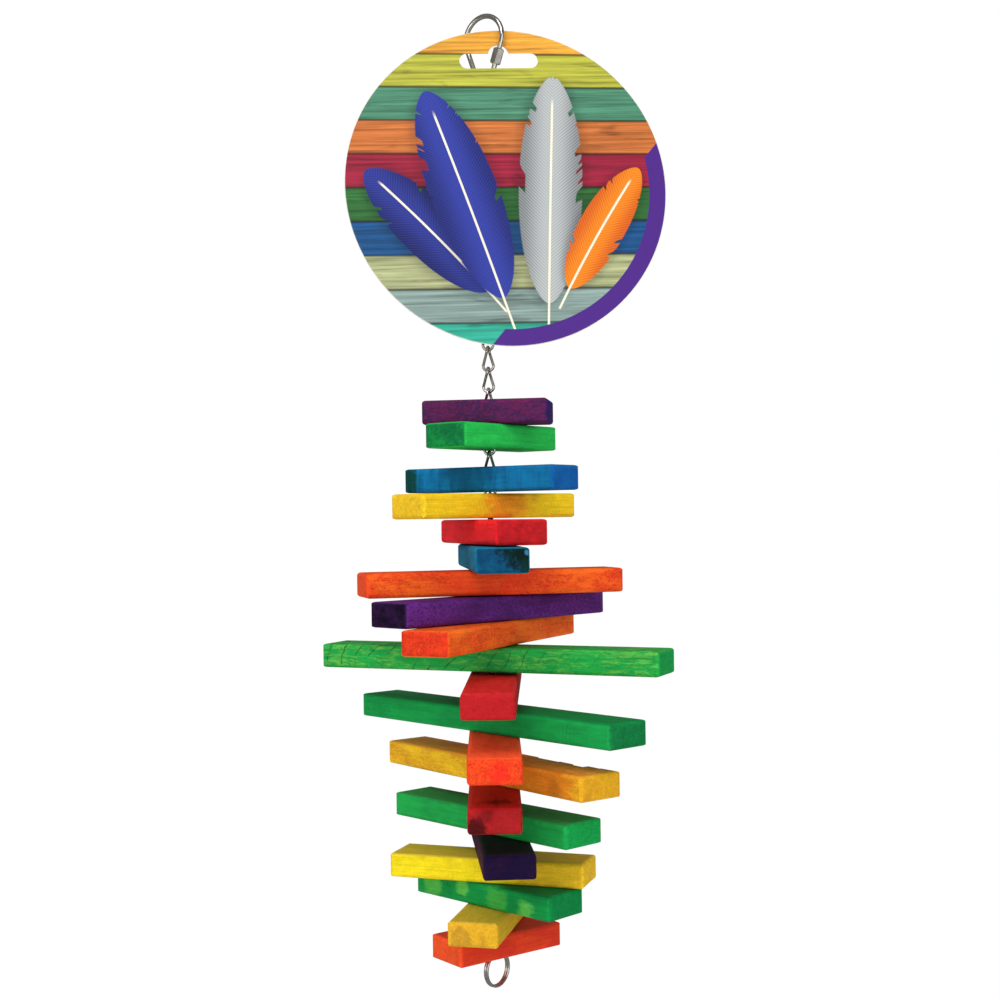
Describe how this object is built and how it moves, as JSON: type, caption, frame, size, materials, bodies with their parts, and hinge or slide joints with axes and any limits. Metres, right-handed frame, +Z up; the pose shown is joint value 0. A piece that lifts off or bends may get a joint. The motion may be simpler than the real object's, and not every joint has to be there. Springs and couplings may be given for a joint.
{
  "type": "hanging bird toy",
  "caption": "Hanging parrot toy: dyed wood strips threaded crosswise on a twisted link chain, with a quick link and header card on top and a split ring below.",
  "frame": {"origin": "inside of the crown of the quick link, on the chain's axis, where a hook bears", "axes": "+Z up along the chain; the front, which the card faces, looks along -Y"},
  "size_m": [0.1775, 0.178, 0.4865],
  "materials": {
    "plated_steel": "bright nickel plate, satin",
    "printed_card": "printed, semi-gloss",
    "wood_purple": "sawn pine, dyed through",
    "wood_green": "sawn pine, dyed through",
    "wood_blue": "sawn pine, dyed through",
    "wood_yellow": "sawn pine, dyed through",
    "wood_red": "sawn pine, dyed through",
    "wood_teal": "sawn pine, dyed through",
    "wood_orange": "sawn pine, dyed through",
    "wood_violet": "sawn pine, dyed through",
    "wood_amber": "sawn pine, dyed through",
    "wood_plum": "sawn pine, dyed through"
  },
  "bodies": {
    "hanger": {"hanger_link": "plated_steel"},
    "link_nut": {"link_nut": "plated_steel"},
    "header_card": {"header_card": "printed_card"},
    "chain_link_01": {"chain_link_01": "plated_steel"},
    "chain_link_02": {"chain_link_02": "plated_steel"},
    "chain_link_03": {"chain_link_03": "plated_steel"},
    "chain_link_04": {"chain_link_04": "plated_steel"},
    "chain_link_05": {"chain_link_05": "plated_steel"},
    "chain_link_06": {"chain_link_06": "plated_steel"},
    "chain_link_07": {"chain_link_07": "plated_steel"},
    "chain_link_08": {"chain_link_08": "plated_steel"},
    "chain_link_09": {"chain_link_09": "plated_steel"},
    "chain_link_10": {"chain_link_10": "plated_steel"},
    "chain_link_11": {"chain_link_11": "plated_steel"},
    "chain_link_12": {"chain_link_12": "plated_steel"},
    "chain_link_13": {"chain_link_13": "plated_steel"},
    "chain_link_14": {"chain_link_14": "plated_steel"},
    "chain_link_15": {"chain_link_15": "plated_steel"},
    "stack_chain": {"stack_chain_upper": "plated_steel", "stack_chain_middle": "plated_steel", "stack_chain_lower": "plated_steel"},
    "bottom_ring": {"bottom_ring": "plated_steel"},
    "block_01": {"block_01": "wood_purple"},
    "block_02": {"block_02": "wood_green"},
    "block_03": {"block_03": "wood_blue"},
    "block_04": {"block_04": "wood_yellow"},
    "block_05": {"block_05": "wood_red"},
    "block_06": {"block_06": "wood_teal"},
    "block_07": {"block_07": "wood_orange"},
    "block_08": {"block_08": "wood_violet"},
    "block_09": {"block_09": "wood_orange"},
    "block_10": {"block_10": "wood_green"},
    "block_11": {"block_11": "wood_red"},
    "block_12": {"block_12": "wood_green"},
    "block_13": {"block_13": "wood_orange"},
    "block_14": {"block_14": "wood_amber"},
    "block_15": {"block_15": "wood_red"},
    "block_16": {"block_16": "wood_green"},
    "block_17": {"block_17": "wood_plum"},
    "block_18": {"block_18": "wood_yellow"},
    "block_19": {"block_19": "wood_green"},
    "block_20": {"block_20": "wood_amber"},
    "block_21": {"block_21": "wood_orange"}
  },
  "joints": [
    {"name": "header_card_swing", "type": "hinge", "parent": "hanger", "child": "header_card", "pos_m": [0.00691, -0.00378, -0.01439], "axis": [-0.9903, -0.1392, 0], "range_deg": [0, 15]},
    {"name": "link_nut_turn", "type": "hinge", "parent": "hanger", "child": "link_nut", "pos_m": [0.00761, -0.00533, -0.01636], "axis": [-0.2825, 0.1978, -0.9387], "continuous": true},
    {"name": "bottom_ring_swing", "type": "hinge", "parent": "stack_chain", "child": "bottom_ring", "pos_m": [0, 0, -0.46668], "axis": [0.6428, 0.766, 0], "range_deg": [-10, 10]},
    {"name": "chain_link_01_bend", "type": "hinge", "parent": "hanger", "child": "chain_link_01", "pos_m": [0, 0, -0.03025], "axis": [0.8191, -0.5736, 0], "range_deg": [-4, 12]},
    {"name": "chain_link_02_bend", "type": "hinge", "parent": "chain_link_01", "child": "chain_link_02", "pos_m": [0, 0, -0.0386], "axis": [0.2588, 0.9659, 0], "range_deg": [-12, 12]},
    {"name": "chain_link_03_bend", "type": "hinge", "parent": "chain_link_02", "child": "chain_link_03", "pos_m": [0, 0, -0.0506], "axis": [-0.9659, 0.2588, 0], "range_deg": [-12, 4]},
    {"name": "chain_link_04_bend", "type": "hinge", "parent": "chain_link_03", "child": "chain_link_04", "pos_m": [0, 0, -0.0595], "axis": [-0.2588, -0.9659, 0], "range_deg": [-12, 12]},
    {"name": "chain_link_05_bend", "type": "hinge", "parent": "chain_link_04", "child": "chain_link_05", "pos_m": [0, 0, -0.0715], "axis": [0.9659, -0.2588, 0], "range_deg": [-4, 12]},
    {"name": "chain_link_06_bend", "type": "hinge", "parent": "chain_link_05", "child": "chain_link_06", "pos_m": [0, 0, -0.0804], "axis": [0.2588, 0.9659, 0], "range_deg": [-12, 12]},
    {"name": "chain_link_07_bend", "type": "hinge", "parent": "chain_link_06", "child": "chain_link_07", "pos_m": [0, 0, -0.0924], "axis": [-0.9659, 0.2588, 0], "range_deg": [-12, 4]},
    {"name": "chain_link_08_bend", "type": "hinge", "parent": "chain_link_07", "child": "chain_link_08", "pos_m": [0, 0, -0.1013], "axis": [-0.2588, -0.9659, 0], "range_deg": [-12, 12]},
    {"name": "chain_link_09_bend", "type": "hinge", "parent": "chain_link_08", "child": "chain_link_09", "pos_m": [0, 0, -0.1133], "axis": [0.9659, -0.2588, 0], "range_deg": [-4, 12]},
    {"name": "chain_link_10_bend", "type": "hinge", "parent": "chain_link_09", "child": "chain_link_10", "pos_m": [0, 0, -0.1222], "axis": [0.2588, 0.9659, 0], "range_deg": [-12, 12]},
    {"name": "chain_link_11_bend", "type": "hinge", "parent": "chain_link_10", "child": "chain_link_11", "pos_m": [0, 0, -0.1342], "axis": [-0.9659, 0.2588, 0], "range_deg": [-12, 4]},
    {"name": "chain_link_12_bend", "type": "hinge", "parent": "chain_link_11", "child": "chain_link_12", "pos_m": [0, 0, -0.1431], "axis": [-0.2588, -0.9659, 0], "range_deg": [-12, 12]},
    {"name": "chain_link_13_bend", "type": "hinge", "parent": "chain_link_12", "child": "chain_link_13", "pos_m": [0, 0, -0.1551], "axis": [0.9659, -0.2588, 0], "range_deg": [-4, 12]},
    {"name": "chain_link_14_bend", "type": "hinge", "parent": "chain_link_13", "child": "chain_link_14", "pos_m": [0, 0, -0.164], "axis": [0.2588, 0.9659, 0], "range_deg": [-12, 12]},
    {"name": "chain_link_15_bend", "type": "hinge", "parent": "chain_link_14", "child": "chain_link_15", "pos_m": [0, 0, -0.176], "axis": [-0.9659, 0.2588, 0], "range_deg": [-12, 4]},
    {"name": "stack_chain_bend", "type": "hinge", "parent": "chain_link_15", "child": "stack_chain", "pos_m": [0, 0, -0.1849], "axis": [-0.2588, -0.9659, 0], "range_deg": [-12, 12]},
    {"name": "block_01_spin", "type": "hinge", "parent": "stack_chain", "child": "block_01", "pos_m": [0, 0, 0], "axis": [0, 0, 1], "continuous": true},
    {"name": "block_02_spin", "type": "hinge", "parent": "stack_chain", "child": "block_02", "pos_m": [0, 0, 0], "axis": [0, 0, 1], "continuous": true},
    {"name": "block_03_spin", "type": "hinge", "parent": "stack_chain", "child": "block_03", "pos_m": [0, 0, 0], "axis": [0, 0, 1], "continuous": true},
    {"name": "block_04_spin", "type": "hinge", "parent": "stack_chain", "child": "block_04", "pos_m": [0, 0, 0], "axis": [0, 0, 1], "continuous": true},
    {"name": "block_05_spin", "type": "hinge", "parent": "stack_chain", "child": "block_05", "pos_m": [0, 0, 0], "axis": [0, 0, 1], "continuous": true},
    {"name": "block_06_spin", "type": "hinge", "parent": "stack_chain", "child": "block_06", "pos_m": [0, 0, 0], "axis": [0, 0, 1], "continuous": true},
    {"name": "block_07_spin", "type": "hinge", "parent": "stack_chain", "child": "block_07", "pos_m": [0, 0, 0], "axis": [0, 0, 1], "continuous": true},
    {"name": "block_08_spin", "type": "hinge", "parent": "stack_chain", "child": "block_08", "pos_m": [0, 0, 0], "axis": [0, 0, 1], "continuous": true},
    {"name": "block_09_spin", "type": "hinge", "parent": "stack_chain", "child": "block_09", "pos_m": [0, 0, 0], "axis": [0, 0, 1], "continuous": true},
    {"name": "block_10_spin", "type": "hinge", "parent": "stack_chain", "child": "block_10", "pos_m": [0, 0, 0], "axis": [0, 0, 1], "continuous": true},
    {"name": "block_11_spin", "type": "hinge", "parent": "stack_chain", "child": "block_11", "pos_m": [0, 0, 0], "axis": [0, 0, 1], "continuous": true},
    {"name": "block_12_spin", "type": "hinge", "parent": "stack_chain", "child": "block_12", "pos_m": [0, 0, 0], "axis": [0, 0, 1], "continuous": true},
    {"name": "block_13_spin", "type": "hinge", "parent": "stack_chain", "child": "block_13", "pos_m": [0, 0, 0], "axis": [0, 0, 1], "continuous": true},
    {"name": "block_14_spin", "type": "hinge", "parent": "stack_chain", "child": "block_14", "pos_m": [0, 0, 0], "axis": [0, 0, 1], "continuous": true},
    {"name": "block_15_spin", "type": "hinge", "parent": "stack_chain", "child": "block_15", "pos_m": [0, 0, 0], "axis": [0, 0, 1], "continuous": true},
    {"name": "block_16_spin", "type": "hinge", "parent": "stack_chain", "child": "block_16", "pos_m": [0, 0, 0], "axis": [0, 0, 1], "continuous": true},
    {"name": "block_17_spin", "type": "hinge", "parent": "stack_chain", "child": "block_17", "pos_m": [0, 0, 0], "axis": [0, 0, 1], "continuous": true},
    {"name": "block_18_spin", "type": "hinge", "parent": "stack_chain", "child": "block_18", "pos_m": [0, 0, 0], "axis": [0, 0, 1], "continuous": true},
    {"name": "block_19_spin", "type": "hinge", "parent": "stack_chain", "child": "block_19", "pos_m": [0, 0, 0], "axis": [0, 0, 1], "continuous": true},
    {"name": "block_20_spin", "type": "hinge", "parent": "stack_chain", "child": "block_20", "pos_m": [0, 0, 0], "axis": [0, 0, 1], "continuous": true},
    {"name": "block_21_spin", "type": "hinge", "parent": "stack_chain", "child": "block_21", "pos_m": [0, 0, 0], "axis": [0, 0, 1], "continuous": true}
  ]
}
